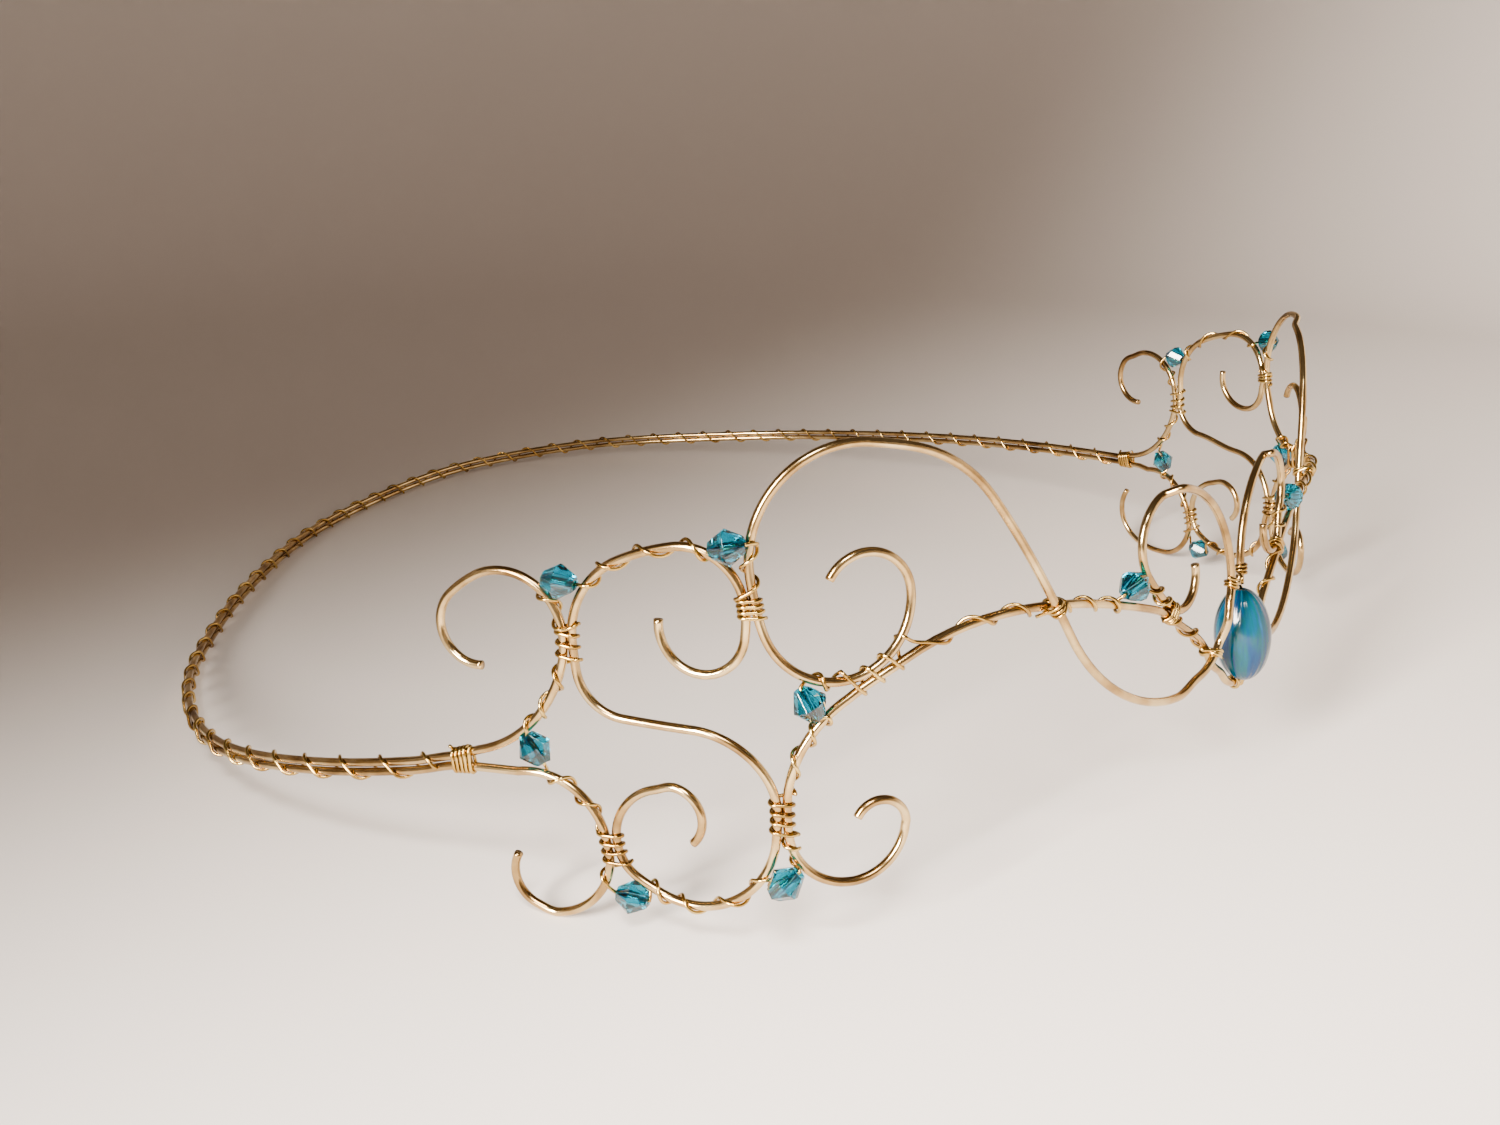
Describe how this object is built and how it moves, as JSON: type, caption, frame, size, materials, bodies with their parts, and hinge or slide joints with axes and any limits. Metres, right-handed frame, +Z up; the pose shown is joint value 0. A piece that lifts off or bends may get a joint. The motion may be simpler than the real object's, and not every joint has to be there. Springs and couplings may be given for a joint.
{
  "type": "wire crown",
  "caption": "Circlet crown of bent brass wire: a two-wire head band, scroll and crest front, faceted glass beads and an oval glass bead at the brow.",
  "frame": {"origin": "centre of the bounding box, on the surface that the crown rests on", "axes": "+Z up, -Y out of the brow, +X towards the wearer's left"},
  "size_m": [0.1726, 0.195, 0.0539],
  "materials": {
    "frame_wire": "bright drawn brass craft wire, pale gold",
    "binding_wire": "bright thin brass craft wire, pale gold",
    "bead_glass": "cut transparent teal glass, polished",
    "centre_glass": "pressed glass with a silky blue-green lustre"
  },
  "bodies": {
    "root": {"upper_band_wire": "frame_wire", "lower_band_wire": "frame_wire", "brow_wire": "frame_wire", "right_scroll_wire": "frame_wire", "left_scroll_wire": "frame_wire", "right_crest_wire": "frame_wire", "left_crest_wire": "frame_wire", "centre_bead": "centre_glass", "centre_bead_wire": "binding_wire", "right_temple_bead": "bead_glass", "left_temple_bead": "bead_glass", "right_fork_bead": "bead_glass", "left_fork_bead": "bead_glass", "right_hook_bead": "bead_glass", "left_hook_bead": "bead_glass", "right_curl_bead": "bead_glass", "left_curl_bead": "bead_glass", "right_crest_bead": "bead_glass", "left_crest_bead": "bead_glass", "right_brow_bead": "bead_glass", "left_brow_bead": "bead_glass", "right_front_bead": "bead_glass", "left_front_bead": "bead_glass", "right_band_binding": "binding_wire", "left_band_binding": "binding_wire", "right_temple_binding": "binding_wire", "left_temple_binding": "binding_wire", "right_hook_binding": "binding_wire", "left_hook_binding": "binding_wire", "right_curl_binding": "binding_wire", "left_curl_binding": "binding_wire", "right_crest_binding": "binding_wire", "left_crest_binding": "binding_wire", "right_brow_lashing": "binding_wire", "left_brow_lashing": "binding_wire", "right_crossing_knot": "binding_wire", "left_crossing_knot": "binding_wire", "right_dip_knot": "binding_wire", "left_dip_knot": "binding_wire", "right_loop_knot": "binding_wire", "left_loop_knot": "binding_wire", "right_bead_tie": "binding_wire", "left_bead_tie": "binding_wire"}
  },
  "joints": []
}
